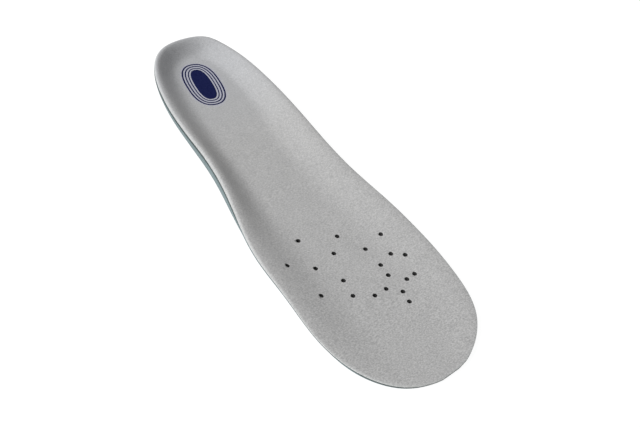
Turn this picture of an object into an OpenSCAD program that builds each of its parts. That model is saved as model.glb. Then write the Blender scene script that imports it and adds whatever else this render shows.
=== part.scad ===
// Cushioned insole for a right foot.
// +X points to the outer side of the foot, +Y to the toe and +Z up. Lengths are in millimetres.

/* [Outline] */
// Length from the back of the heel to the tip of the toe
insole_length = 270; // [230:1:300]
// Widest part, across the ball of the foot
ball_width = 94; // [84:1:106]

/* [Heights] */
// Height of the walking surface at the heel
heel_floor = 7.5; // [6.5:0.5:9]
// Height of the walking surface at the ball of the foot
ball_floor = 4; // [3.6:0.1:5]
// Height of the walking surface at the toe
toe_floor = 3.2; // [3:0.1:4]
// Depth of the heel cup, from its rim to the walking surface
cup_depth = 8; // [6:0.5:10]

/* [Layers] */
// Thickness of the top cloth
cloth_thickness = 0.8; // [0.6:0.1:0.9]
// Thickness of the adhesive film under the cloth
film_thickness = 0.3; // [0.2:0.05:0.3]
// Radius with which the cloth rolls over the rim
rim_radius = 1.4; // [1.3:0.1:1.6]
// How far the cloth's edge hangs below the top of the rim
rim_lip = 1.8; // [1.7:0.1:2.4]

/* [Heel print] */
// Length of the solid oval
print_length = 26.8; // [20:0.2:28]
// Width of the solid oval
print_width = 10.6; // [8:0.2:12]
// Distance from the oval's edge to the middle of the first ring
ring_gap = 1.3; // [1.2:0.1:1.6]
// Distance between the middles of neighbouring rings
ring_pitch = 1.8; // [1.4:0.1:1.8]
// Width of the middle ring's line
ring_line = 0.7; // [0.4:0.1:0.8]
// Thickness of the ink
ink_thickness = 0.15; // [0.1:0.05:0.2]

/* [Heel cushion] */
// Length of the plug
cushion_length = 46; // [36:1:48]
// Width of the plug
cushion_width = 32; // [26:1:34]
// Height of the plug
cushion_height = 3; // [2:0.5:3.5]

/* [Vents] */
// Diameter of a vent hole
vent_diameter = 2; // [1.6:0.1:2.4]

/* [Hidden] */
$fn = 64;

// The outline's control stations, measured from the back of the heel and drawn for the design length.
// [along, inner edge, outer edge, inner rise, outer rise, inner undercut, outer undercut]
// A rise is a share of the cup's depth. An undercut is how far the foot of the wall stands in from the rim.
design_length = 270;
STATIONS = [
    [2, -20, 10.5, 1.1, 1.15, 7, 7.5],
    [12, -26.5, 21.5, 1, 1.05, 7, 7.5],
    [33, -32.5, 30.5, 1, 1.1, 7, 6],
    [65, -34.5, 35, 0.95, 0.95, 7, 6.5],
    [98, -34.5, 34, 0.9, 0.95, 7, 3.5],
    [128, -36, 40, 0.7, 1, 6, 2],
    [160, -42, 49, 0.55, 0.75, 4, 6],
    [192, -43.5, 48.5, 0.4, 0.65, 3, 6],
    [222, -42.5, 51, 0.3, 0.45, 2, 4],
    [248, -37.5, 43.5, 0.15, 0.1, 1.2, 1.5],
    [267, -15.5, 27.5, 0.05, 0.05, 1.2, 1.2],
];
// The two ends: [across, along, rise, undercut]
HEEL_TIP = [-5, -1, 1, 7];
TOE_TIP = [4.5, 271.5, 0, 1.2];

// Samples of the outline on each side, and how many at each end fan out from one point of the spine
side_samples = 40;
heel_fan = 8;
toe_fan = 7;
samples = 2 * side_samples;

// Where the walking surface starts to drop after the heel, and where it reaches the ball and the toe
drop_start = 60;
drop_end = 150;
toe_start = 190;
toe_end = 262;

// Share of the way from the spine to the rim that stays level, on each side of the foot.
// [along, share]
INNER_LEVEL = [[0, 0.45], [25, 0.5], [50, 0.5], [90, 0.25]];
OUTER_LEVEL = [[0, 0.45], [25, 0.4], [50, 0.4], [90, 0.5], [105, 0.5], [165, 0.25]];
// Exponent that moves the steepest part of the wall towards the rim
wall_shape = 1.4;
wall_steps = 8;
round_steps = 3;
side_steps = 3;
// Share of a full wrap that the cloth's edge keeps at the toe, and where the wrap fades
toe_wrap = 0.15;
wrap_fade_start = 130;
wrap_fade_end = 215;

// The heel print and the plug below it share this centre, measured across and from the back of the heel
HEEL_CENTRE = [-0.9, 33.6];
// Turn of the print, which takes its toe end to the outer side of the foot
print_turn = -9;
// Each ring's line is this share wider than the one inside it
line_growth = 0.15;

// Vents lie on rings round a hub near the ball of the big toe.
// [radius, bearings from the outer side of the foot, anticlockwise]
VENT_HUB = [-13, 207];
VENT_RINGS = [
    [5, [-56, 146]],
    [9, [72]],
    [10, [17, 168]],
    [12, [-80]],
    [16, [76]],
    [17, [-141, -115]],
    [18, [12]],
    [25, [-84]],
    [28, [-3]],
    [29, [-25]],
    [31, [-110]],
    [36, [-57]],
    [41, [-75]],
    [43, [-37]],
    [44, [-11]],
    [56, [-56]],
    [58, [-34]],
];

function smooth(low, high, v) =
    let (t = min(1, max(0, (v - low) / (high - low))))
    t * t * (3 - 2 * t);
function mix(a, b, t) = a + (b - a) * t;

// Closed cubic B-spline. v counts control points round the outline.
CONTROL = concat(
    [HEEL_TIP],
    [for (s = STATIONS) [s[2], s[0], s[4], s[6]]],
    [TOE_TIP],
    [for (k = [len(STATIONS) - 1:-1:0])
        let (s = STATIONS[k])
        [s[1], s[0], s[3], s[5]]]
);
function spline(v) =
    let (
        n = len(CONTROL),
        k = floor(v),
        t = v - k,
        w0 = pow(1 - t, 3) / 6,
        w1 = (3 * pow(t, 3) - 6 * t * t + 4) / 6,
        w2 = (-3 * pow(t, 3) + 3 * t * t + 3 * t + 1) / 6,
        w3 = pow(t, 3) / 6
    )
    w0 * CONTROL[(k + n - 1) % n]
    + w1 * CONTROL[k % n]
    + w2 * CONTROL[(k + 1) % n]
    + w3 * CONTROL[(k + 2) % n];

// The outline, centred on the origin and stretched to the driving length and width
RAW = [for (i = [0:samples - 1]) spline(i * len(CONTROL) / samples)];
raw_left = min([for (p = RAW) p[0]]);
raw_right = max([for (p = RAW) p[0]]);
raw_back = min([for (p = RAW) p[1]]);
raw_front = max([for (p = RAW) p[1]]);
function place_x(x) = (x - (raw_left + raw_right) / 2) * ball_width / (raw_right - raw_left);
function place_y(y) = (y - (raw_back + raw_front) / 2) * insole_length / (raw_front - raw_back);
function along(y) = (y / insole_length + 0.5) * design_length;
RIM = [for (p = RAW) [place_x(p[0]), place_y(p[1])]];

function floor_height(y) =
    let (
        a = along(y),
        middle = mix(heel_floor, ball_floor, smooth(drop_start, drop_end, a))
    )
    mix(middle, toe_floor, smooth(toe_start, toe_end, a));

// The spine runs halfway between opposite samples, and stops short of both ends
function spine_step(i) =
    let (k = i <= side_samples ? i : samples - i)
    min(side_samples - toe_fan, max(heel_fan, k));
function spine_point(k) = (RIM[k] + RIM[samples - k]) / 2;

// Rise of the wall, from the level part at 0 to the rim at 1, and its slope there
function wall_rise(t) =
    t <= 0 ? 0 : let (w = pow(t, wall_shape)) w * w * (3 - 2 * w);
function wall_slope(t) =
    t <= 0 ? 0 : let (w = pow(t, wall_shape)) 6 * w * (1 - w) * wall_shape * pow(t, wall_shape - 1);

// One sample's section. Each point is a distance from the spine and a height.
function reach(i) = norm(RIM[i] - spine_point(spine_step(i)));
function direction(i) = (RIM[i] - spine_point(spine_step(i))) / reach(i);
function level_share(i) = lookup(along(RIM[i][1]), i < side_samples ? OUTER_LEVEL : INNER_LEVEL);
function rise(i) = RAW[i][2] * cup_depth;
function rim_height(i) = floor_height(RIM[i][1]) + rise(i);
function wrap(i) = mix(1, toe_wrap, smooth(wrap_fade_start, wrap_fade_end, along(RIM[i][1])));
function crest(i) = reach(i) - rim_radius;

// Walking surface from the spine to the crest, set back by depth along its own normal
function inner_point(i, depth, r) =
    let (
        level = level_share(i),
        t = (r - level) / (1 - level),
        slope = rise(i) * wall_slope(t) / ((1 - level) * crest(i)),
        length = sqrt(1 + slope * slope),
        y = spine_point(spine_step(i))[1] + direction(i)[1] * r * crest(i)
    )
    [
        r * crest(i) + depth * slope / length,
        floor_height(y) + rise(i) * wall_rise(t) - depth / length
    ];
function radial_steps(i) =
    let (level = level_share(i))
    concat([0, level / 2], [for (k = [0:wall_steps]) mix(level, 1, k / wall_steps)]);

// Roll over the rim, which turns into a plain cut edge towards the toe
function round_point(i, depth, k) =
    let (
        angle = 90 * k / round_steps,
        rolled = [
            crest(i) + (rim_radius - depth) * sin(angle),
            rim_height(i) - rim_radius + (rim_radius - depth) * cos(angle)
        ],
        cut = [crest(i) + rim_radius * k / round_steps, rim_height(i) - depth]
    )
    mix(cut, rolled, wrap(i));
function skin_line(i, depth) = concat(
    [for (r = radial_steps(i)) inner_point(i, depth, r)],
    [for (k = [1:round_steps]) round_point(i, depth, k)]
);

// Lower edges of the cloth and film. in is measured inwards from the outline.
function edge_point(i, in, depth_rolled, depth_cut) =
    [reach(i) - in * wrap(i), rim_height(i) - mix(depth_cut, depth_rolled, wrap(i))];
function cloth_edge(i) = edge_point(i, 0, rim_lip, cloth_thickness);
function cloth_inner_edge(i) = edge_point(i, cloth_thickness, rim_lip, cloth_thickness);
bond_depth = cloth_thickness + film_thickness;
function film_edge(i) = edge_point(i, 0, rim_lip + film_thickness, bond_depth);
function film_inner_edge(i) = edge_point(i, bond_depth, rim_lip + film_thickness, bond_depth);

// Foam wall. It bulges at the back before it draws in to its foot, and runs straight further forward.
wall_bulge = 1.5;
bulge_fade_start = 120;
bulge_fade_end = 160;
function wall_point(i, v) =
    let (
        undercut = RAW[i][3],
        power = mix(wall_bulge, 1, smooth(bulge_fade_start, bulge_fade_end, along(RIM[i][1])))
    )
    [reach(i) - undercut * pow(v, power), film_edge(i)[1] * (1 - v)];

function reversed(list) = [for (k = [len(list) - 1:-1:0]) list[k]];
function cloth_section(i) = concat(
    skin_line(i, 0), [cloth_edge(i), cloth_inner_edge(i)], reversed(skin_line(i, cloth_thickness)));
function film_section(i) = concat(
    skin_line(i, cloth_thickness),
    [cloth_inner_edge(i), cloth_edge(i), film_edge(i), film_inner_edge(i)],
    reversed(skin_line(i, bond_depth))
);
function foam_section(i) = concat(
    skin_line(i, bond_depth),
    [film_inner_edge(i), film_edge(i)],
    [for (k = [1:side_steps]) wall_point(i, k / side_steps)],
    [[0, 0]]
);
function in_space(i, p) =
    let (flat = spine_point(spine_step(i)) + direction(i) * p[0])
    [flat[0], flat[1], p[1]];

// Closed solid from the samples' sections, which all start and end on the spine.
// top_rings is how many gaps belong to the upper surface. The rest turn their diagonals the other
// way, so that two layers that meet share every triangle.
module shell(sections, top_rings) {
    rings = len(sections[0]) - 2;
    spine_count = side_samples - toe_fan - heel_fan + 1;
    points = concat(
        [for (k = [0:spine_count - 1]) in_space(k + heel_fan, sections[k + heel_fan][0])],
        [for (j = [1:rings]) for (i = [0:samples - 1]) in_space(i, sections[i][j])],
        [for (k = [0:spine_count - 1]) in_space(k + heel_fan, sections[k + heel_fan][rings + 1])]
    );
    function index(j, i) =
        j == 0 ? spine_step(i) - heel_fan
        : j == rings + 1 ? spine_count + rings * samples + spine_step(i) - heel_fan
        : spine_count + (j - 1) * samples + i;
    faces = [
        for (j = [0:rings])
            for (i = [0:samples - 1])
                let (
                    n = (i + 1) % samples,
                    a = index(j, i),
                    b = index(j, n),
                    c = index(j + 1, n),
                    d = index(j + 1, i),
                    pair = j < top_rings ? [[a, b, c], [a, c, d]] : [[a, b, d], [b, c, d]]
                )
                for (f = pair)
                    if (f[0] != f[1] && f[1] != f[2] && f[2] != f[0]) f
    ];
    polyhedron(points, faces, convexity = 6);
}

module vents() {
    for (ring = VENT_RINGS)
        for (bearing = ring[1])
            translate([
                place_x(VENT_HUB[0] + ring[0] * cos(bearing)),
                place_y(VENT_HUB[1] + ring[0] * sin(bearing)),
                -1
            ])
                cylinder(d = vent_diameter, h = heel_floor + cup_depth + 2, $fn = 24);
}

// Straight-sided oval with round ends, lying along Y
module oval(length, width) {
    straight = length - width;
    union() {
        square([width, straight], center = true);
        for (side = [-1, 1])
            translate([0, side * straight / 2])
                circle(d = width);
    }
}
heel_x = place_x(HEEL_CENTRE[0]);
heel_y = place_y(HEEL_CENTRE[1]);

module ink_ring(step) {
    grow = 2 * (ring_gap + (step - 1) * ring_pitch);
    line = ring_line * (1 + (step - 2) * line_growth);
    color("midnightblue")
        translate([heel_x, heel_y, heel_floor])
            rotate([0, 0, print_turn])
                linear_extrude(ink_thickness)
                    difference() {
                        oval(print_length + grow + line, print_width + grow + line);
                        oval(print_length + grow - line, print_width + grow - line);
                    }
}

// Gaps between rings on a layer's upper side, out to the cloth's edge
top_gaps = len(skin_line(0, 0)) + 1;

module top_cloth() {
    color("silver")
        difference() {
            shell([for (i = [0:samples - 1]) cloth_section(i)], top_gaps - 1);
            vents();
        }
}
module cloth_bond_film() {
    color("dimgray")
        difference() {
            shell([for (i = [0:samples - 1]) film_section(i)], top_gaps);
            vents();
        }
}
module foam_base() {
    color("slategray")
        difference() {
            shell([for (i = [0:samples - 1]) foam_section(i)], top_gaps);
            vents();
            translate([heel_x, heel_y, -1])
                linear_extrude(cushion_height + 1)
                    oval(cushion_length, cushion_width);
        }
}
module heel_cushion() {
    color("darkslateblue")
        translate([heel_x, heel_y, 0])
            linear_extrude(cushion_height)
                oval(cushion_length, cushion_width);
}
module heel_print_oval() {
    color("midnightblue")
        translate([heel_x, heel_y, heel_floor])
            rotate([0, 0, print_turn])
                linear_extrude(ink_thickness)
                    oval(print_length, print_width);
}
module heel_print_ring_inner() {
    ink_ring(1);
}
module heel_print_ring_middle() {
    ink_ring(2);
}
module heel_print_ring_outer() {
    ink_ring(3);
}

top_cloth();
cloth_bond_film();
foam_base();
heel_cushion();
heel_print_oval();
heel_print_ring_inner();
heel_print_ring_middle();
heel_print_ring_outer();
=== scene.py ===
"""Cushioned insole for a right foot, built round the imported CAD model.

+X points to the outer side of the foot, +Y to the toe and +Z up. Shapes are worked out in
millimetres and become metres when a mesh is made.
"""

import math

import bpy
import numpy as np
from mathutils import Matrix, Vector, kdtree, noise


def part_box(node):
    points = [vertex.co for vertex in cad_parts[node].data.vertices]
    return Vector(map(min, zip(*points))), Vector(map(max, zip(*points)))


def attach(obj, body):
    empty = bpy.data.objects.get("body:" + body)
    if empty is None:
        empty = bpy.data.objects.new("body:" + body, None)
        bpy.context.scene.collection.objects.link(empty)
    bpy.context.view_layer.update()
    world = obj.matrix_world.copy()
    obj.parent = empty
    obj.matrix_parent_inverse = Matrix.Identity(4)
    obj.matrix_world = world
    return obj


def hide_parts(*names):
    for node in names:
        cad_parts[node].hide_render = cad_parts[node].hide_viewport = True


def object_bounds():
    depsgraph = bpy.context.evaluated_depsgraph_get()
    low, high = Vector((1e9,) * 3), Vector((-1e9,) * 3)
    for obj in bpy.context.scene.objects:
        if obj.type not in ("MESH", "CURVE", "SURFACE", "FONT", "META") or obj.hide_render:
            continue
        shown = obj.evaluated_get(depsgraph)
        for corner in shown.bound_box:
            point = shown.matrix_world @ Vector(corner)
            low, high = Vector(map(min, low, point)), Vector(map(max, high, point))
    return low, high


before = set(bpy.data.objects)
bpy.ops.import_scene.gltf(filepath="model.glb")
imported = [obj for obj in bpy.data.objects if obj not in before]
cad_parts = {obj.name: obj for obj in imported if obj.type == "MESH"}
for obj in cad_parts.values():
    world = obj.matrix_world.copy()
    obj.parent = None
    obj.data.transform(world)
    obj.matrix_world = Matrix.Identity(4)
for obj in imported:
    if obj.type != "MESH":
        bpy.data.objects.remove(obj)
CAD_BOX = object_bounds()

MM = 0.001
BODY = "root"


def node_box(name):
    """Lowest and highest corner of a CAD node, in millimetres."""
    low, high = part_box(name)
    return np.array(low) / MM, np.array(high) / MM


# ---------------------------------------------------------------- sizes

INSOLE_WIDTH, INSOLE_LENGTH = [(CAD_BOX[1][k] - CAD_BOX[0][k]) / MM for k in (0, 1)]

oval_low, oval_high = node_box("heel_print_oval")
PRINT_CENTRE = (oval_low + oval_high)[:2] / 2
INK_THICKNESS = oval_high[2] - oval_low[2]
HEEL_FLOOR = oval_low[2]
# The printed oval's size, and its turn out of the foot's line
PRINT_WIDTH, PRINT_LENGTH = 10.6, 26.8
PRINT_TURN = math.radians(-9)
# Distance from the oval to the first ring's middle, from ring to ring, and the width of each ring
RING_GAP = 1.3
RING_PITCH = 1.8
RING_LINES = [0.65, 0.75, 0.9]
RINGS = ["heel_print_ring_inner", "heel_print_ring_middle", "heel_print_ring_outer"]
PRINT_SPREAD = RING_GAP + (len(RINGS) - 1) * RING_PITCH + RING_LINES[-1] / 2

plug_low, plug_high = node_box("heel_cushion")
PLUG_CENTRE = (plug_low + plug_high)[:2] / 2
PLUG_WIDTH, PLUG_LENGTH, PLUG_HEIGHT = plug_high - plug_low

# Heights of the walking surface at the ball and the toe, and of the rim above it at the heel
BALL_FLOOR = 4
TOE_FLOOR = 3.2
CUP_DEPTH = 8
# Thickness of the two upper layers
CLOTH = 0.8
FILM = 0.3
# The cloth's roll over the rim, and how far below the rim its edge ends
RIM_RADIUS = 1.4
RIM_LIP = 1.8
VENT_RADIUS = 1

# The outline's control stations, measured from the back of the heel and drawn for the design length.
# [along, inner edge, outer edge, inner rise, outer rise, inner undercut, outer undercut]
# A rise is a share of the cup's depth. An undercut is how far the foot of the wall stands in from the rim.
DESIGN_LENGTH = 270
STATIONS = [
    [2, -20, 10.5, 1.1, 1.15, 7, 7.5],
    [12, -26.5, 21.5, 1, 1.05, 7, 7.5],
    [33, -32.5, 30.5, 1, 1.1, 7, 6],
    [65, -34.5, 35, 0.95, 0.95, 7, 6.5],
    [98, -34.5, 34, 0.9, 0.95, 7, 3.5],
    [128, -36, 40, 0.7, 1, 6, 2],
    [160, -42, 49, 0.55, 0.75, 4, 6],
    [192, -43.5, 48.5, 0.4, 0.65, 3, 6],
    [222, -42.5, 51, 0.3, 0.45, 2, 4],
    [248, -37.5, 43.5, 0.15, 0.1, 1.2, 1.5],
    [267, -15.5, 27.5, 0.05, 0.05, 1.2, 1.2],
]
# The two ends: [across, along, rise, undercut]
HEEL_TIP = [-5, -1, 1, 7]
TOE_TIP = [4.5, 271.5, 0, 1.2]

# Straight scissor cuts run from each of these points to the next: [across, along from the heel]
TRIM_CORNERS = [
    (3, 270), (-9, 268.5), (-19, 265.5), (-31, 257), (-36.5, 251.5), (-43, 240.5), (-47, 228),
]
# Least share of a cut's facing that a section counts as having, which limits how far it moves back
LEAST_FACING = 0.2

# Samples of the outline on each side, and how many at each end fan out from one point of the spine
SIDE_SAMPLES = 200
HEEL_FAN = 40
TOE_FAN = 35
SAMPLES = 2 * SIDE_SAMPLES

# Vents lie on rings round a hub near the ball of the big toe.
# [radius, bearings from the outer side of the foot, anticlockwise]
VENT_HUB = (-13, 207)
VENT_RINGS = [
    [5, [-56, 146]],
    [9, [72]],
    [10, [17, 168]],
    [12, [-80]],
    [16, [76]],
    [17, [-141, -115]],
    [18, [12]],
    [25, [-84]],
    [28, [-3]],
    [29, [-25]],
    [31, [-110]],
    [36, [-57]],
    [41, [-75]],
    [43, [-37]],
    [44, [-11]],
    [56, [-56]],
    [58, [-34]],
]


# ---------------------------------------------------------------- outline and spine

def smooth(low, high, v):
    t = np.clip((v - low) / (high - low), 0, 1)
    return t * t * (3 - 2 * t)


def mix(a, b, t):
    return a + (b - a) * t


def control_points():
    """The outline's control points: heel tip, outer edge, toe tip and inner edge."""
    outer = [[s[2], s[0], s[4], s[6]] for s in STATIONS]
    inner = [[s[1], s[0], s[3], s[5]] for s in reversed(STATIONS)]
    return np.array([HEEL_TIP, *outer, TOE_TIP, *inner], float)


def spline(control, samples):
    """Samples of a closed cubic B-spline."""
    v = np.arange(samples) * len(control) / samples
    k = np.floor(v).astype(int)
    t = (v - k)[:, None]
    weights = [
        (1 - t) ** 3 / 6,
        (3 * t**3 - 6 * t**2 + 4) / 6,
        (-3 * t**3 + 3 * t**2 + 3 * t + 1) / 6,
        t**3 / 6,
    ]
    return sum(w * control[(k + step) % len(control)] for step, w in enumerate(weights, -1))


RAW = spline(control_points(), SAMPLES)
RAW_LOW, RAW_HIGH = RAW[:, :2].min(axis=0), RAW[:, :2].max(axis=0)
PLAN_SCALE = np.array([INSOLE_WIDTH, INSOLE_LENGTH]) / (RAW_HIGH - RAW_LOW)


def place(points):
    """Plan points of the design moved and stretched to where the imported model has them."""
    return (np.asarray(points)[..., :2] - (RAW_LOW + RAW_HIGH) / 2) * PLAN_SCALE


def along(y):
    """Distance from the back of the heel, for the design length."""
    return (y / INSOLE_LENGTH + 0.5) * DESIGN_LENGTH


def spine_index():
    """The pair of opposite samples that each sample's section starts from."""
    i = np.arange(SAMPLES)
    pair = np.where(i <= SIDE_SAMPLES, i, SAMPLES - i)
    return np.clip(pair, HEEL_FAN, SIDE_SAMPLES - TOE_FAN)


def trimmed(rim, direction):
    """The rim moved back along its sections to the straight cuts."""
    corners = np.array([(x, y - INSOLE_LENGTH / 2) for x, y in TRIM_CORNERS])
    for start, end in zip(corners, corners[1:]):
        step = (end - start) / np.linalg.norm(end - start)
        outward = np.array([step[1], -step[0]])
        excess = np.maximum(0, (rim - start) @ outward)
        facing = np.maximum(LEAST_FACING, direction @ outward)
        rim = rim - direction * (excess / facing)[:, None]
    return rim


SMOOTH_RIM = place(RAW)
SPINE_OF = spine_index()
SPINE = (SMOOTH_RIM[SPINE_OF] + SMOOTH_RIM[(SAMPLES - SPINE_OF) % SAMPLES]) / 2
DIRECTION = SMOOTH_RIM - SPINE
DIRECTION = DIRECTION / np.linalg.norm(DIRECTION, axis=1)[:, None]
RIM = trimmed(SMOOTH_RIM, DIRECTION)
REACH = np.linalg.norm(RIM - SPINE, axis=1)


# ---------------------------------------------------------------- section rules

# Where the walking surface starts to drop after the heel, and where it reaches the ball and the toe
DROP_START, DROP_END = 60, 150
TOE_START, TOE_END = 190, 262
# Share of the way from the spine to the rim that stays level, on each side of the foot: [along, share]
INNER_LEVEL = [(0, 0.45), (25, 0.5), (50, 0.5), (90, 0.25)]
OUTER_LEVEL = [(0, 0.45), (25, 0.4), (50, 0.4), (90, 0.5), (105, 0.5), (165, 0.25)]
# Exponent that moves the steepest part of the wall towards the rim
WALL_SHAPE = 1.4
# Share of a full wrap that the cloth's edge keeps at the toe, and where the wrap fades
TOE_WRAP = 0.15
WRAP_FADE_START, WRAP_FADE_END = 130, 215

LEVEL_STEPS = 8
WALL_STEPS = 26
ROUND_STEPS = 8
SIDE_STEPS = 16
# Rounding of the cloth's cut edge
EDGE_ROUND = 0.25
# How far the film stands back behind the cloth's edge, at the heel and from the ball forward
HEEL_INSET, FRONT_INSET = 0.1, 0.4
INSET_CHANGE_START, INSET_CHANGE_END = 120, 145
# How far the dark film shows below the cloth's wrapped edge, widened so that it also stands in for the
# shadow line there
FILM_EDGE = 0.6
# Step from the film's edge out to the foam's side, and the rounding of the side's foot
FOAM_SHOULDER = 0.25
FOOT_EASE = 0.5
# Exponent of the foam wall's bulge at the back, and where the wall turns straight
WALL_BULGE = 1.5
BULGE_FADE_START, BULGE_FADE_END = 120, 160


def floor_height(y):
    a = along(y)
    middle = mix(HEEL_FLOOR, BALL_FLOOR, smooth(DROP_START, DROP_END, a))
    return mix(middle, TOE_FLOOR, smooth(TOE_START, TOE_END, a))


RIM_ALONG = along(RIM[:, 1])
UNDERCUT = RAW[:, 3]
RISE = RAW[:, 2] * CUP_DEPTH
RIM_HEIGHT = floor_height(RIM[:, 1]) + RISE
WRAP = mix(1, TOE_WRAP, smooth(WRAP_FADE_START, WRAP_FADE_END, RIM_ALONG))
CREST = REACH - RIM_RADIUS
LEVEL = np.where(
    np.arange(SAMPLES) < SIDE_SAMPLES,
    np.interp(RIM_ALONG, *zip(*OUTER_LEVEL)),
    np.interp(RIM_ALONG, *zip(*INNER_LEVEL)),
)
FILM_INSET = mix(HEEL_INSET, FRONT_INSET, smooth(INSET_CHANGE_START, INSET_CHANGE_END, RIM_ALONG))
BULGE = mix(WALL_BULGE, 1, smooth(BULGE_FADE_START, BULGE_FADE_END, RIM_ALONG))


# Waves in the line of the cloth's wrapped edge: [waves round the outline, size, phase]
LIP_WAVES = [(5, 0.11, 0.4), (13, 0.07, 2.1), (31, 0.05, 4.4), (57, 0.03, 1.3)]


def lip_wave():
    """How far the cloth's wrapped edge strays from its line, as a sheet trimmed by hand does."""
    turn = 2 * math.pi * np.arange(SAMPLES) / SAMPLES
    return sum(size * np.sin(count * turn + phase) for count, size, phase in LIP_WAVES)


LIP_WAVE = lip_wave()


def wall_rise(t):
    w = np.maximum(t, 0) ** WALL_SHAPE
    return w * w * (3 - 2 * w)


def wall_slope(t):
    t = np.maximum(t, 0)
    w = t**WALL_SHAPE
    return 6 * w * (1 - w) * WALL_SHAPE * t ** (WALL_SHAPE - 1)


def section_points(across, height):
    return np.stack([across, height], axis=1)


def inner_points(depth, share):
    """Walking surface at a share of the way from the spine to the crest, set back by depth."""
    t = (share - LEVEL) / (1 - LEVEL)
    slope = RISE * wall_slope(t) / ((1 - LEVEL) * CREST)
    length = np.sqrt(1 + slope * slope)
    y = SPINE[:, 1] + DIRECTION[:, 1] * share * CREST
    height = floor_height(y) + RISE * wall_rise(t)
    return section_points(share * CREST + depth * slope / length, height - depth / length)


def round_points(depth, share):
    """Roll over the rim, which turns into a plain cut edge towards the toe."""
    angle = math.pi / 2 * share
    rolled = section_points(
        CREST + (RIM_RADIUS - depth) * math.sin(angle),
        RIM_HEIGHT - RIM_RADIUS + (RIM_RADIUS - depth) * math.cos(angle),
    )
    cut = section_points(CREST + RIM_RADIUS * share, RIM_HEIGHT - depth)
    return mix(cut, rolled, WRAP[:, None])


def skin_line(depth):
    """From the spine over the walking surface and the rim, set back by depth."""
    level = [inner_points(depth, LEVEL * k / LEVEL_STEPS) for k in range(LEVEL_STEPS)]
    wall = [inner_points(depth, mix(LEVEL, 1, k / WALL_STEPS)) for k in range(WALL_STEPS + 1)]
    roll = [round_points(depth, (k + 1) / ROUND_STEPS) for k in range(ROUND_STEPS)]
    return level + wall + roll


def edge_points(inset, depth_rolled, depth_cut):
    """Points near the layers' lower edges. The inset is measured inwards from the outline."""
    depth = mix(depth_cut, depth_rolled + LIP_WAVE, WRAP)
    return section_points(REACH - inset * WRAP, RIM_HEIGHT - depth)


def cloth_section():
    corner = EDGE_ROUND * (1 - math.sqrt(0.5))
    edge = [
        edge_points(0, RIM_LIP - EDGE_ROUND, CLOTH - EDGE_ROUND),
        edge_points(corner, RIM_LIP - corner, CLOTH - corner),
        edge_points(EDGE_ROUND, RIM_LIP, CLOTH),
        edge_points(CLOTH, RIM_LIP, CLOTH),
    ]
    return skin_line(0) + edge + skin_line(CLOTH)[::-1]


def film_section():
    bond = CLOTH + FILM
    edge = [
        edge_points(CLOTH, RIM_LIP, CLOTH),
        edge_points(FILM_INSET, RIM_LIP, CLOTH),
        edge_points(FILM_INSET, RIM_LIP + FILM_EDGE, bond),
        edge_points(bond, RIM_LIP + FILM_EDGE, bond),
    ]
    return skin_line(CLOTH) + edge + skin_line(bond)[::-1]


def foam_wall():
    """The foam's side from the film down to its foot, bulging a little before it draws in."""
    top = edge_points(0, RIM_LIP + FILM_EDGE + FOAM_SHOULDER, CLOTH + FILM + FOAM_SHOULDER / 2)
    last = 1 - FOOT_EASE / np.maximum(top[:, 1], 2 * FOOT_EASE)
    points = []
    for k in range(SIDE_STEPS + 1):
        v = last * k / SIDE_STEPS
        points.append(section_points(REACH - UNDERCUT * v**BULGE, top[:, 1] * (1 - v)))
    return points


# Shallow guide lines for cutting the toe to size, moulded into the underside
GUIDE_INSETS = (4, 8, 12)
GUIDE_DEPTH = 0.35
GUIDE_WIDTH = 0.8
# A guide line's profile: [share of the width, share of the depth]
GUIDE_PROFILE = [(-0.5, 0), (-0.2, 1), (0.2, 1), (0.5, 0)]
# Where the guide lines fade in, measured from the back of the heel
GUIDE_START, GUIDE_END = 205, 225
BOTTOM_STEPS = 12


def foam_bottom():
    """The underside from the eased foot of the wall to the spine, with the guide lines."""
    foot = REACH - UNDERCUT - FOOT_EASE
    depth = GUIDE_DEPTH * smooth(GUIDE_START, GUIDE_END, RIM_ALONG)
    points = [section_points(foot, 0 * foot)]
    for inset in GUIDE_INSETS:
        for step, share in GUIDE_PROFILE:
            points.append(section_points(foot - inset - step * GUIDE_WIDTH, depth * share))
    last = points[-1][:, 0]
    for k in range(1, BOTTOM_STEPS + 1):
        points.append(section_points(last * (1 - k / BOTTOM_STEPS), 0 * foot))
    return points


def foam_section():
    bond = CLOTH + FILM
    edge = [
        edge_points(bond, RIM_LIP + FILM_EDGE, bond),
        edge_points(FILM_INSET, RIM_LIP + FILM_EDGE, bond),
    ]
    return skin_line(bond) + edge + foam_wall() + foam_bottom()


# ---------------------------------------------------------------- meshes

def noise_at(x, y, pitch, seed):
    """Smooth noise from -1 to 1 over the plan, with bumps about one pitch apart."""
    values = [noise.noise(Vector((a / pitch, b / pitch, seed))) for a, b in zip(x, y)]
    return np.array(values)


# Slight waves that moulding leaves: [height, distance between bumps, noise seed]
MOULD_WAVES = [(0.10, 22, 3.7), (0.035, 7, 9.2)]
# Heights between which the waves fade out towards the flat underside
WAVE_FADE_LOW, WAVE_FADE_HIGH = 0.5, 2.5


def unevenness(x, y):
    """Height of the waves that moulding leaves."""
    return sum(height * noise_at(x, y, pitch, seed) for height, pitch, seed in MOULD_WAVES)


def in_space(points):
    """Section points to space, with the waves that moulding leaves."""
    flat = SPINE + DIRECTION * points[:, :1]
    fade = smooth(WAVE_FADE_LOW, WAVE_FADE_HIGH, points[:, 1])
    return np.column_stack([flat, points[:, 1] + unevenness(flat[:, 0], flat[:, 1]) * fade])


def make_object(name, vertices, faces, materials):
    """A new smooth-shaded object. Vertices are in millimetres."""
    mesh = bpy.data.meshes.new(name)
    mesh.from_pydata((np.asarray(vertices) * MM).tolist(), [], faces)
    mesh.validate()
    for material in materials:
        mesh.materials.append(material)
    mesh.shade_smooth()
    piece = bpy.data.objects.new(name, mesh)
    bpy.context.scene.collection.objects.link(piece)
    return piece


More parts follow.
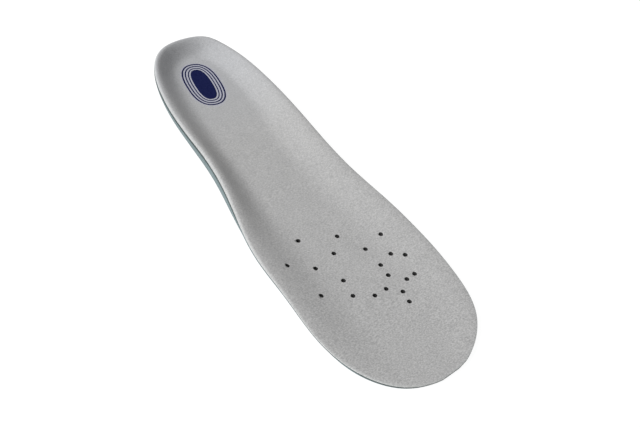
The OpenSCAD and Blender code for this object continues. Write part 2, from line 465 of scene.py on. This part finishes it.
def shell(name, section, materials):
    """Closed solid from a section that starts and ends on the spine."""
    rings = len(section) - 2
    spine_samples = np.arange(HEEL_FAN, SIDE_SAMPLES - TOE_FAN + 1)
    ends = [in_space(section[k])[spine_samples] for k in (0, -1)]
    middle = [in_space(points) for points in section[1:-1]]
    vertices = np.concatenate([ends[0], *middle, ends[1]])
    on_spine = SPINE_OF - HEEL_FAN
    index = [on_spine]
    index += [len(spine_samples) + j * SAMPLES + np.arange(SAMPLES) for j in range(rings)]
    index += [len(spine_samples) + rings * SAMPLES + on_spine]
    faces = []
    for upper, lower in zip(index, index[1:]):
        for a, b, c, d in zip(upper, np.roll(upper, -1), np.roll(lower, -1), lower):
            face = [a, d, c, b]
            faces.append([int(v) for k, v in enumerate(face) if v != face[k - 1]])
    return make_object(name, vertices, faces, materials)


def vent_places():
    hub = np.array(VENT_HUB, float)
    for radius, bearings in VENT_RINGS:
        for bearing in bearings:
            turn = math.radians(bearing)
            yield place(hub + radius * np.array([math.cos(turn), math.sin(turn)]))


def revolved(profile, centre, sides):
    """Closed solid of revolution from [radius, height] points, bottom to top."""
    turn = 2 * np.pi * np.arange(sides) / sides
    rings = [
        np.column_stack([
            centre[0] + radius * np.cos(turn),
            centre[1] + radius * np.sin(turn),
            np.full(sides, height),
        ])
        for radius, height in profile
    ]
    faces = [list(range(sides))[::-1]]
    for j in range(len(profile) - 1):
        for k in range(sides):
            n = (k + 1) % sides
            faces.append([j * sides + k, j * sides + n, (j + 1) * sides + n, (j + 1) * sides + k])
    faces.append([(len(profile) - 1) * sides + k for k in range(sides)])
    return np.concatenate(rings), faces


def joined(parts):
    """Several solids as one list of vertices and one of faces."""
    vertices, faces = [], []
    for part_vertices, part_faces in parts:
        start = sum(len(v) for v in vertices)
        vertices.append(part_vertices)
        faces += [[start + v for v in face] for face in part_faces]
    return np.concatenate(vertices), faces


VENT_SIDES = 28
# How far cutters run past the underside, and past the cloth
CUT_BELOW = 1
CUT_ABOVE = 2
# Material slots of the cloth, film and foam
OWN_SLOT = 0
VENT_WALL_SLOT = 1
# The punch rolls the cloth's edge in: [extra radius, height above the cloth]
VENT_MOUTH = [(0, -0.45), (0.06, -0.2), (0.2, -0.04), (0.45, 0.04)]


def vent_cutters(cloth):
    """One punch for each vent. Its mouth flares at the cloth's upper side."""
    parts = []
    for x, y in vent_places():
        top = top_height(cloth, x, y)
        profile = [(VENT_RADIUS, -CUT_BELOW)]
        profile += [(VENT_RADIUS + extra, top + height) for extra, height in VENT_MOUTH]
        profile.append((VENT_RADIUS + VENT_MOUTH[-1][0], top + CUT_ABOVE))
        parts.append(revolved(profile, (x, y), VENT_SIDES))
    return parts


def cut_out(piece, parts, material_index):
    """Cuts solids out of a piece. The new faces take the material with that index."""
    vertices, faces = joined(parts)
    cutter = make_object("cutter", vertices, faces, piece.data.materials)
    for polygon in cutter.data.polygons:
        polygon.material_index = material_index
    modifier = piece.modifiers.new("cut", "BOOLEAN")
    modifier.operation = "DIFFERENCE"
    modifier.solver = "EXACT"
    modifier.object = cutter
    evaluated = piece.evaluated_get(bpy.context.evaluated_depsgraph_get())
    result = bpy.data.meshes.new_from_object(evaluated)
    piece.modifiers.clear()
    piece.data = result
    bpy.data.objects.remove(cutter)


def top_height(cloth, x, y):
    """Height of the cloth's upper side, in millimetres."""
    start = Vector((x * MM, y * MM, 1))
    hit, point, _, _ = cloth.ray_cast(start, Vector((0, 0, -1)))
    return point.z / MM if hit else 0


# ---------------------------------------------------------------- heel print

OVAL_POINTS = 160
# Exponent of the superellipse: 2 is an ellipse, and a larger one straightens the sides
OVAL_POWER = 2.55
# Loops of the oval's upper and lower face, as shares of its outline
OVAL_SHARES = [0.08, 0.2, 0.35, 0.5, 0.65, 0.8, 0.92]
# Width of the ink's soft edge, and how far its underside sits in the cloth
INK_EDGE = 0.12
INK_ROOT = -0.02
# Size of the ink's uneven edge, the distance between its bumps and the noise's seed
INK_WOBBLE = 0.05
WOBBLE_PITCH = 0.9
WOBBLE_SEED = 1.4


def oval_outline():
    """Round-ended oval about the origin, turned a little out of the foot's line."""
    turn = 2 * np.pi * np.arange(OVAL_POINTS) / OVAL_POINTS
    cosine, sine = np.cos(turn), np.sin(turn)
    power = 2 / OVAL_POWER
    x = PRINT_WIDTH / 2 * np.sign(cosine) * np.abs(cosine) ** power
    y = PRINT_LENGTH / 2 * np.sign(sine) * np.abs(sine) ** power
    c, s = math.cos(PRINT_TURN), math.sin(PRINT_TURN)
    return np.column_stack([x * c - y * s, x * s + y * c])


def outward_normals(outline):
    step = np.roll(outline, -1, axis=0) - np.roll(outline, 1, axis=0)
    normal = np.column_stack([step[:, 1], -step[:, 0]])
    return normal / np.linalg.norm(normal, axis=1)[:, None]


def grown(outline, distance):
    return outline + outward_normals(outline) * distance


def ink_points(cloth, outline, height):
    """Points of the print at a height above the cloth. The knit makes its edge waver."""
    x, y = (outline + PRINT_CENTRE).T
    wobble = INK_WOBBLE * noise_at(x, y, WOBBLE_PITCH, WOBBLE_SEED)
    x, y = (outline + outward_normals(outline) * wobble[:, None] + PRINT_CENTRE).T
    floor = np.array([top_height(cloth, a, b) for a, b in zip(x, y)])
    return np.column_stack([x, y, floor + height])


def loop_faces(first, second):
    """Quads between two closed loops of the same number of points."""
    count = len(first)
    return [[first[k], first[(k + 1) % count], second[(k + 1) % count], second[k]]
            for k in range(count)]


def swept(rings, closed):
    """Loops of points joined one to the next, and the last to the first if closed."""
    count = len(rings[0])
    loops = [list(range(j * count, (j + 1) * count)) for j in range(len(rings))]
    pairs = list(zip(loops, loops[1:] + loops[:1])) if closed else list(zip(loops, loops[1:]))
    return np.concatenate(rings), [face for a, b in pairs for face in loop_faces(a, b)]


def ink_oval(name, cloth, materials):
    """The solid oval: a thin film of ink with a soft edge."""
    outline = oval_outline()
    edge = grown(outline, -INK_EDGE)
    profile = [(outline * share, INK_ROOT) for share in OVAL_SHARES]
    profile += [(outline, INK_ROOT), (outline, INK_THICKNESS / 2), (edge, INK_THICKNESS)]
    profile += [(edge * share, INK_THICKNESS) for share in reversed(OVAL_SHARES)]
    vertices, faces = swept([ink_points(cloth, *ring) for ring in profile], closed=False)
    faces.append(list(range(OVAL_POINTS))[::-1])
    faces.append(list(range(len(vertices) - OVAL_POINTS, len(vertices))))
    return make_object(name, vertices, faces, materials)


def ink_ring(name, cloth, middle, line, materials):
    """A thin line of ink, with its middle at a distance outside the oval."""
    half = line / 2
    profile = [
        (-half, INK_ROOT),
        (half, INK_ROOT),
        (half, INK_THICKNESS / 2),
        (half - INK_EDGE, INK_THICKNESS),
        (INK_EDGE - half, INK_THICKNESS),
        (-half, INK_THICKNESS / 2),
    ]
    outline = oval_outline()
    rings = [ink_points(cloth, grown(outline, middle + out), height) for out, height in profile]
    vertices, faces = swept(rings, closed=True)
    return make_object(name, vertices, faces, materials)


# ---------------------------------------------------------------- heel plug

# Clearance round the plug and above it, and the easing of its rim
PLUG_GAP = 0.15
PLUG_HEADROOM = 0.05
PLUG_EDGE = 0.5
# Dimples: distance between them, their depth, and the lattice values at their rim and their middle
PLUG_CELL = 4.2
PLUG_CELL_DEPTH = 0.7
DIMPLE_RIM, DIMPLE_MIDDLE = -0.6, 1.6
# Shares of the outline between which the dimples stop
DIMPLES_END, PLAIN_START = 0.86, 0.95
PLUG_POINTS = 160
PLUG_RINGS = 44
# Loops of the upper face, as shares of its outline
PLUG_TOP_SHARES = (0.5, 0.1)


def stadium_outline(width, length, count):
    """Oval with straight sides and round ends."""
    turn = 2 * np.pi * (np.arange(count) + 0.5) / count
    straight = (length - width) / 2
    x = width / 2 * np.cos(turn)
    y = width / 2 * np.sin(turn) + straight * np.sign(np.sin(turn))
    return np.column_stack([x, y])


def cell_relief(x, y):
    """Depth of round dimples on a hexagonal lattice, from 0 to 1."""
    angles = [math.radians(a) for a in (0, 60, 120)]
    waves = [np.cos(2 * np.pi * (x * math.cos(a) + y * math.sin(a)) / PLUG_CELL) for a in angles]
    return smooth(DIMPLE_RIM, DIMPLE_MIDDLE, sum(waves))


def heel_plug(name, materials):
    """Soft plug let into the underside. Its lower face is dimpled, and its rim is eased."""
    outline = stadium_outline(PLUG_WIDTH - 2 * PLUG_GAP, PLUG_LENGTH - 2 * PLUG_GAP, PLUG_POINTS)
    inner = grown(outline, -PLUG_EDGE)
    top = PLUG_HEIGHT - PLUG_HEADROOM

    def ring(points, height):
        x, y = (points + PLUG_CENTRE).T
        return np.column_stack([x, y, np.broadcast_to(height, x.shape)])

    def dimples(share):
        x, y = (inner * share).T
        margin = 1 - smooth(DIMPLES_END, PLAIN_START, share)
        return PLUG_CELL_DEPTH * cell_relief(x, y) * margin

    shares = [(k + 1) / PLUG_RINGS for k in range(PLUG_RINGS)]
    rings = [ring(inner * share, dimples(share)) for share in shares]
    rings += [ring(outline, PLUG_EDGE), ring(outline, top - PLUG_EDGE), ring(inner, top)]
    rings += [ring(inner * share, top) for share in PLUG_TOP_SHARES]
    vertices, faces = swept(rings, closed=False)
    faces.append(list(range(PLUG_POINTS))[::-1])
    faces.append(list(range(len(vertices) - PLUG_POINTS, len(vertices))))
    return make_object(name, vertices, faces, materials)


def plug_pocket():
    """Cutter for the hole in the foam that holds the plug."""
    outline = stadium_outline(PLUG_WIDTH, PLUG_LENGTH, PLUG_POINTS) + PLUG_CENTRE
    rings = [np.column_stack([outline, np.full(PLUG_POINTS, z)]) for z in (-CUT_BELOW, PLUG_HEIGHT)]
    vertices, faces = swept(rings, closed=False)
    faces.append(list(range(PLUG_POINTS))[::-1])
    faces.append(list(range(PLUG_POINTS, 2 * PLUG_POINTS)))
    return vertices, faces


# ---------------------------------------------------------------- masks

# How far in from the outline a painted highlight lightens the cloth over the rim
LIP_HIGHLIGHT_REACH = 1.7
# How far outside the last ring the print's ground fades
TINT_REACH = 1.2


def set_mask(piece, name, values):
    attribute = piece.data.attributes.new(name, "FLOAT", "POINT")
    attribute.data.foreach_set("value", np.asarray(values, np.float32))


def vertex_places(piece):
    """The vertices' places, in millimetres."""
    flat = np.empty(3 * len(piece.data.vertices), np.float32)
    piece.data.vertices.foreach_get("co", flat)
    return flat.reshape(-1, 3) / MM


def nearest_points(outline, places):
    """For each place, the number of the outline's nearest point in the plan, and its distance."""
    tree = kdtree.KDTree(len(outline))
    for k, (x, y) in enumerate(outline):
        tree.insert((x, y, 0), k)
    tree.balance()
    found = [tree.find((x, y, 0)) for x, y, _ in places]
    return np.array([number for _, number, _ in found]), np.array([away for _, _, away in found])


def mask_cloth(cloth):
    """Marks the rim, where a highlight is painted on the cloth, and where the print's ground is."""
    places = vertex_places(cloth)
    _, from_rim = nearest_points(RIM, places)
    # Painted highlight: the cloth's colour is lightened near the rim
    set_mask(cloth, "rim", 1 - smooth(0, LIP_HIGHLIGHT_REACH, from_rim))
    middle = grown(oval_outline(), PRINT_SPREAD / 2) + PRINT_CENTRE
    _, from_middle = nearest_points(middle, places)
    ground = 1 - smooth(PRINT_SPREAD / 2, PRINT_SPREAD / 2 + TINT_REACH, from_middle)
    set_mask(cloth, "print", ground)


# Reach of the painted shade under the cloth's overhang along the foam's upper edge, and where it is left
# out
EDGE_SHADE_REACH = 1.6
EDGE_SHADE_FADE_START, EDGE_SHADE_FADE_END = 130, 150
EDGE_SHADE_BACK_START, EDGE_SHADE_BACK_END = 238, 250


def mask_foam(foam):
    """Marks the upper edge of the foam's side, where the shade under the cloth's edge is painted in."""
    places = vertex_places(foam)
    nearest, _ = nearest_points(RIM, places)
    lip_height = RIM_HEIGHT - mix(CLOTH + FILM, RIM_LIP + FILM_EDGE, WRAP)
    # Painted shade: darkest at the cloth's lower edge, fading down the foam's side
    edge_shade = 1 - smooth(0, EDGE_SHADE_REACH, lip_height[nearest] - places[:, 2])
    a = RIM_ALONG[nearest]
    unshaded = smooth(EDGE_SHADE_FADE_START, EDGE_SHADE_FADE_END, a) * (1 - smooth(EDGE_SHADE_BACK_START, EDGE_SHADE_BACK_END, a))
    set_mask(foam, "edge_shade", edge_shade * (1 - unshaded))


# ---------------------------------------------------------------- materials

# Radians that the wave texture turns through in one of its units
WAVE_RATE = 20
# The middle part of a noise, which holds most of its values
NOISE_SPAN = (0.3, 0.7)


class Shader:
    """Short calls for building a material's nodes."""

    def __init__(self, name):
        self.material = bpy.data.materials.new(name)
        self.material.use_nodes = True
        self.tree = self.material.node_tree
        self.surface = self.tree.nodes["Principled BSDF"]
        self.place = self.node("ShaderNodeTexCoord").outputs["Object"]

    def node(self, kind, **settings):
        made = self.tree.nodes.new(kind)
        for key, value in settings.items():
            setattr(made, key, value)
        return made

    def feed(self, socket, value):
        """Links an output to a socket, or sets the socket's constant."""
        if isinstance(value, bpy.types.NodeSocket):
            self.tree.links.new(value, socket)
        else:
            socket.default_value = value

    def set(self, **values):
        """Sets the surface's sockets. Underscores stand for spaces."""
        for key, value in values.items():
            self.feed(self.surface.inputs[key.replace("_", " ")], value)

    def math(self, operation, a, b):
        made = self.node("ShaderNodeMath", operation=operation)
        self.feed(made.inputs[0], a)
        self.feed(made.inputs[1], b)
        return made.outputs[0]

    def stretched(self, scale):
        """Object coordinates with a scale for each axis, in features per metre."""
        made = self.node("ShaderNodeMapping")
        self.feed(made.inputs["Vector"], self.place)
        made.inputs["Scale"].default_value = scale
        return made.outputs["Vector"]

    def noise(self, scale, detail=2.0, roughness=0.5, vector=None):
        """Noise from 0 to 1 with that many features per metre."""
        made = self.node("ShaderNodeTexNoise")
        self.feed(made.inputs["Vector"], vector or self.place)
        made.inputs["Scale"].default_value = scale
        made.inputs["Detail"].default_value = detail
        made.inputs["Roughness"].default_value = roughness
        return made.outputs["Fac"]

    def ribs(self, pitch, direction, distortion):
        """Waves from 0 to 1 with a pitch in millimetres."""
        made = self.node("ShaderNodeTexWave", bands_direction=direction)
        self.feed(made.inputs["Vector"], self.place)
        made.inputs["Scale"].default_value = 2 * math.pi / WAVE_RATE / (pitch * MM)
        made.inputs["Distortion"].default_value = distortion
        made.inputs["Detail"].default_value = 1
        made.inputs["Detail Scale"].default_value = 1.5
        return made.outputs["Fac"]

    def cells(self, scale):
        """Distance to the middle of a random cell, with that many cells per metre."""
        made = self.node("ShaderNodeTexVoronoi", feature="F1")
        self.feed(made.inputs["Vector"], self.place)
        made.inputs["Scale"].default_value = scale
        return made.outputs["Distance"]

    def ranged(self, value, low, high, to_low, to_high):
        """Takes the range from low to high over to another one, and holds its ends."""
        made = self.node("ShaderNodeMapRange")
        self.feed(made.inputs["Value"], value)
        limits = {"From Min": low, "From Max": high, "To Min": to_low, "To Max": to_high}
        for key, number in limits.items():
            made.inputs[key].default_value = number
        return made.outputs["Result"]

    def length_share(self, low, high):
        """0 at one distance along the foot and 1 at another, in metres."""
        split = self.node("ShaderNodeSeparateXYZ")
        self.feed(split.inputs["Vector"], self.place)
        return self.ranged(split.outputs["Y"], low, high, 0, 1)

    def mask(self, name, share):
        """A mask of the mesh, from 0 to a share of its full effect."""
        mask = self.node("ShaderNodeAttribute", attribute_name=name).outputs["Fac"]
        return self.ranged(mask, 0, 1, 0, share)

    def blend(self, factor, a, b, blend_type="MIX"):
        """Colour that goes from a to b, or to a times b where the type is MULTIPLY."""
        made = self.node("ShaderNodeMix", data_type="RGBA", blend_type=blend_type)
        self.feed(made.inputs["Factor"], factor)
        for key, value in (("A", a), ("B", b)):
            socket = [s for s in made.inputs if s.name == key and s.type == "RGBA"][0]
            self.feed(socket, value)
        return [s for s in made.outputs if s.type == "RGBA"][0]

    def bump(self, height, distance, strength):
        """Relief with a distance in millimetres."""
        made = self.node("ShaderNodeBump")
        self.feed(made.inputs["Height"], height)
        made.inputs["Distance"].default_value = distance * MM
        made.inputs["Strength"].default_value = strength
        return made.outputs["Normal"]


def grey(value, warmth=0.0):
    return (value * (1 + warmth), value, value * (1 - warmth), 1)


# Distance between the knit's ribs and between its loops, in millimetres, and how much each wanders
KNIT_RIB, RIB_WANDER = 0.65, 1.6
KNIT_LOOP, LOOP_WANDER = 0.5, 2.2
# Height of the loops and of the loose fibre, as shares of a rib's
LOOP_HEIGHT = 0.5
FIBRE_HEIGHT = 1.6
# Fibres and flecks for each metre across, along and up
FIBRE_SCALE = (700, 2200, 1400)
FLECK_SCALE = (900, 1500, 1200)
KNIT_DARK, KNIT_LIGHT = grey(0.30), grey(0.50, 0.005)
# How far the mottling and the ribs move the tone, and the tone at which the knit is lightest
MOTTLE_TONE = 0.07
RIB_TONE = 0.12
LIGHTEST_TONE = 0.6
# The nap lies flatter at the heel, so its flecks are fainter there than at the toe
FLECK_STRENGTH = (0.45, 1.0)
FLECK_FROM, FLECK_TO = -0.11, 0.10
# The heel's cloth is a little bluer. These are places along the foot, in metres.
HEEL_TINT = (0.985, 1.0, 1.03, 1)
HEEL_TINT_FROM, HEEL_TINT_TO = -0.05, -0.11
# Bleed of the ink into the cloth round the print, and a painted highlight on the cloth over the rim,
# with how much of each shows
PRINT_BLEED, BLEED_SHARE = (0.40, 0.41, 0.52, 1), 0.5
RIM_HIGHLIGHT_COLOUR, RIM_HIGHLIGHT_SHARE = (0.56, 0.59, 0.585, 1), 0.2


def flecks(shader):
    """Fine noise drawn out along the yarn."""
    return shader.noise(1, detail=3, roughness=0.7, vector=shader.stretched(FLECK_SCALE))


def knit_height(shader):
    """Relief of the brushed knit: ribs across the foot, loops along them and loose fibre."""
    ribs = shader.ribs(KNIT_RIB, "Y", RIB_WANDER)
    loops = shader.ribs(KNIT_LOOP, "X", LOOP_WANDER)
    weave = shader.math("ADD", ribs, shader.math("MULTIPLY", loops, LOOP_HEIGHT))
    fibre = shader.noise(1, detail=4, roughness=0.65, vector=shader.stretched(FIBRE_SCALE))
    return shader.math("ADD", weave, shader.math("MULTIPLY", fibre, FIBRE_HEIGHT))


def knit_tone(shader):
    """Light and dark of the heathered knit: flecks, large mottling and ribs."""
    strength = shader.ranged(shader.length_share(FLECK_FROM, FLECK_TO), 0, 1, *FLECK_STRENGTH)
    mottle = shader.noise(110, detail=3, roughness=0.6)
    rib = shader.ribs(KNIT_RIB, "Y", RIB_WANDER)
    tone = shader.math("MULTIPLY", shader.ranged(flecks(shader), 0.25, 0.75, -1, 1), strength)
    tone = shader.math("ADD", tone, shader.ranged(mottle, *NOISE_SPAN, -MOTTLE_TONE, MOTTLE_TONE))
    tone = shader.math("ADD", tone, shader.ranged(rib, 0, 1, -RIB_TONE, RIB_TONE))
    return shader.ranged(tone, -LIGHTEST_TONE, LIGHTEST_TONE, 0, 1)


def knit_material():
    """Heathered grey knit, bluer at the heel, with a painted highlight over the rim."""
    shader = Shader("brushed_knit")
    heel = shader.length_share(HEEL_TINT_FROM, HEEL_TINT_TO)
    colour = shader.blend(knit_tone(shader), KNIT_DARK, KNIT_LIGHT)
    colour = shader.blend(heel, colour, HEEL_TINT, "MULTIPLY")
    colour = shader.blend(shader.mask("print", BLEED_SHARE), colour, PRINT_BLEED)
    # Painted highlight on the cloth along the rim
    colour = shader.blend(shader.mask("rim", RIM_HIGHLIGHT_SHARE), colour, RIM_HIGHLIGHT_COLOUR)
    shader.set(Base_Color=colour, Roughness=0.92, Specular_IOR_Level=0.2)
    shader.set(Sheen_Weight=0.25, Sheen_Roughness=0.4)
    shader.set(Normal=shader.bump(knit_height(shader), distance=0.05, strength=0.6))
    return shader.material


# Near-black painted shade deep inside the vents
VENT_SHADE_DARK, VENT_SHADE_LIGHT = grey(0.006), grey(0.02)


def vent_material():
    """Vent wall painted near-black: the shade deep inside the hole."""
    shader = Shader("vent_wall")
    speckle = shader.noise(1500, detail=2)
    # Painted shade: near-black walls in the hole
    shader.set(Base_Color=shader.blend(speckle, VENT_SHADE_DARK, VENT_SHADE_LIGHT), Roughness=0.8)
    shader.set(Normal=shader.bump(speckle, distance=0.05, strength=0.5))
    return shader.material


# Dark film, partly painted shade: its darkness also draws the shadow line in the gap under the cloth's
# edge
FILM_AND_SHADOW_DARK, FILM_AND_SHADOW_LIGHT = (0.02, 0.032, 0.032, 1), (0.04, 0.055, 0.055, 1)


def film_material():
    """Dark adhesive film, seen as a thin line under the cloth's edge. Its darkness also paints the shadow
    of the gap there.
    """
    shader = Shader("adhesive_film_and_shadow_line")
    streak = shader.noise(600, detail=2)
    shader.set(Base_Color=shader.blend(streak, FILM_AND_SHADOW_DARK, FILM_AND_SHADOW_LIGHT), Roughness=0.45)
    shader.set(Normal=shader.bump(streak, distance=0.04, strength=0.4))
    return shader.material


FOAM_DARK, FOAM_LIGHT = (0.12, 0.165, 0.17, 1), (0.19, 0.24, 0.25, 1)
# Painted shade along the foam's upper edge, under the cloth's overhang, and how much of it shows
EDGE_SHADE_COLOUR, EDGE_SHADE_SHARE = (0.035, 0.05, 0.05, 1), 0.9
# Small and large cells for each metre, and the large ones' height as a share of the small ones'
PORE_SCALE, LARGE_PORE_SCALE = 1500, 520
LARGE_PORE_HEIGHT = 1.4
# How far the pores and the clouding move the foam's tone, and the tone at which it is lightest
PORE_TONE = 0.3
CLOUD_TONE = 0.2
LIGHTEST_FOAM_TONE = 0.5


def foam_material():
    """Teal-grey foam with a fine open cell, and painted shade along its upper edge."""
    shader = Shader("cell_foam")
    pores = shader.cells(PORE_SCALE)
    large = shader.cells(LARGE_PORE_SCALE)
    cloud = shader.ranged(shader.noise(90, detail=3), *NOISE_SPAN, -CLOUD_TONE, CLOUD_TONE)
    tone = shader.math("ADD", shader.ranged(pores, 0.1, 0.6, -PORE_TONE, PORE_TONE), cloud)
    share = shader.ranged(tone, -LIGHTEST_FOAM_TONE, LIGHTEST_FOAM_TONE, 0, 1)
    colour = shader.blend(share, FOAM_DARK, FOAM_LIGHT)
    # Painted shade under the cloth's edge, along the foam's upper edge
    colour = shader.blend(shader.mask("edge_shade", EDGE_SHADE_SHARE), colour, EDGE_SHADE_COLOUR)
    height = shader.math("ADD", pores, shader.math("MULTIPLY", large, LARGE_PORE_HEIGHT))
    shader.set(Base_Color=colour, Roughness=0.8, Specular_IOR_Level=0.3)
    shader.set(Normal=shader.bump(height, distance=0.08, strength=0.6))
    return shader.material


PLUG_DARK, PLUG_LIGHT = (0.02, 0.035, 0.14, 1), (0.05, 0.075, 0.22, 1)
# Roughness of the gel where it is clean and where it has bloomed
PLUG_ROUGHNESS = (0.32, 0.5)


def plug_material():
    """Soft dark blue gel with a faint bloom."""
    shader = Shader("gel_plug")
    bloom = shader.noise(260, detail=3)
    colour = shader.blend(bloom, PLUG_DARK, PLUG_LIGHT)
    shader.set(Base_Color=colour, Roughness=shader.ranged(bloom, *NOISE_SPAN, *PLUG_ROUGHNESS))
    shader.set(Subsurface_Weight=0.1, Subsurface_Scale=0.002)
    shader.set(Normal=shader.bump(shader.noise(1200, detail=2), distance=0.03, strength=0.4))
    return shader.material


INK_DARK, INK_LIGHT = (0.003, 0.006, 0.045, 1), (0.012, 0.016, 0.075, 1)


def ink_material():
    """Navy screen print. The knit shows through its surface."""
    shader = Shader("navy_ink")
    cover = shader.ranged(flecks(shader), 0.3, 0.75, 0, 1)
    colour = shader.blend(cover, INK_DARK, INK_LIGHT)
    shader.set(Base_Color=colour, Roughness=0.85, Specular_IOR_Level=0.08)
    shader.set(Normal=shader.bump(knit_height(shader), distance=0.05, strength=0.5))
    return shader.material


# ---------------------------------------------------------------- pieces

def add_cloth(material, vent_wall):
    cloth = shell("knit_top_cloth", cloth_section(), [material, vent_wall])
    cutters = vent_cutters(cloth)
    cut_out(cloth, cutters, VENT_WALL_SLOT)
    mask_cloth(cloth)
    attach(cloth, BODY)
    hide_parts("top_cloth")
    return cloth, cutters


def add_film(material, vent_wall, cutters):
    film = shell("bond_film_layer", film_section(), [material, vent_wall])
    cut_out(film, cutters, VENT_WALL_SLOT)
    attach(film, BODY)
    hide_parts("cloth_bond_film")
    return film


def add_foam(material, vent_wall, cutters):
    foam = shell("moulded_foam_base", foam_section(), [material, vent_wall])
    cut_out(foam, cutters, VENT_WALL_SLOT)
    cut_out(foam, [plug_pocket()], OWN_SLOT)
    mask_foam(foam)
    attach(foam, BODY)
    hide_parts("foam_base")
    return foam


def add_plug(material):
    plug = heel_plug("gel_heel_plug", [material])
    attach(plug, BODY)
    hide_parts("heel_cushion")
    return plug


def add_print(cloth, material):
    pieces = [ink_oval("printed_oval", cloth, [material])]
    for count, (node, line) in enumerate(zip(RINGS, RING_LINES)):
        name = node.replace("heel_print", "printed")
        pieces.append(ink_ring(name, cloth, RING_GAP + count * RING_PITCH, line, [material]))
    for piece, node in zip(pieces, ["heel_print_oval", *RINGS]):
        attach(piece, BODY)
        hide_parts(node)
    return pieces


# ---------------------------------------------------------------- stage

# Direction from the insole to the key light
KEY_DIRECTION = Vector((0.79, -0.12, 0.6))
KEY_STRENGTH = 3.1
KEY_SOFTNESS = math.radians(30)
SKY_STRENGTH = 0.43
FLOOR_SIZE = 6
FLOOR_GLOW = 0.93
# How far the floor lies below the insole, so that the two don't share a plane
FLOOR_DROP = 0.0002

CAMERA_PLACE = Vector((0.346, 0.371, 0.499))
CAMERA_LOOK = Vector((-0.501, -0.506, -0.702))
CAMERA_UP = Vector((-0.323, -0.643, 0.694))
CAMERA_LENS = 72.8


def floor_material():
    """White sweep, lit from behind so that it stays white under the insole's edge."""
    shader = Shader("studio_floor")
    shader.set(Base_Color=grey(0.15), Roughness=0.9, Specular_IOR_Level=0.0)
    shader.set(Emission_Color=grey(1.0), Emission_Strength=FLOOR_GLOW)
    return shader.material


def add_floor():
    mesh = bpy.data.meshes.new("studio_floor")
    h = FLOOR_SIZE / 2
    corners = [(-h, -h), (h, -h), (h, h), (-h, h)]
    mesh.from_pydata([(x, y, -FLOOR_DROP) for x, y in corners], [], [(0, 1, 2, 3)])
    mesh.materials.append(floor_material())
    floor = bpy.data.objects.new("studio_floor", mesh)
    bpy.context.scene.collection.objects.link(floor)


def add_light():
    key = bpy.data.lights.new("key", "SUN")
    key.energy = KEY_STRENGTH
    key.angle = KEY_SOFTNESS
    lamp = bpy.data.objects.new("key", key)
    lamp.rotation_euler = KEY_DIRECTION.to_track_quat("Z", "Y").to_euler()
    bpy.context.scene.collection.objects.link(lamp)
    world = bpy.data.worlds.new("studio")
    world.use_nodes = True
    sky = world.node_tree.nodes["Background"]
    sky.inputs["Color"].default_value = (1, 1, 1, 1)
    sky.inputs["Strength"].default_value = SKY_STRENGTH
    bpy.context.scene.world = world
    bpy.context.scene.view_settings.view_transform = "Standard"


def add_camera():
    data = bpy.data.cameras.new("camera")
    data.lens = CAMERA_LENS
    data.clip_start = 0.05
    camera = bpy.data.objects.new("camera", data)
    right = CAMERA_LOOK.cross(CAMERA_UP).normalized()
    up = right.cross(CAMERA_LOOK).normalized()
    turn = Matrix((right, up, -CAMERA_LOOK.normalized())).transposed()
    camera.matrix_world = Matrix.Translation(CAMERA_PLACE) @ turn.to_4x4()
    bpy.context.scene.collection.objects.link(camera)
    bpy.context.scene.camera = camera


# ---------------------------------------------------------------- build

add_camera()
add_light()
add_floor()
knit = knit_material()
vent_wall = vent_material()
cloth, cutters = add_cloth(knit, vent_wall)
add_film(film_material(), vent_wall, cutters)
foam = add_foam(foam_material(), vent_wall, cutters)
add_plug(plug_material())
ink = add_print(cloth, ink_material())
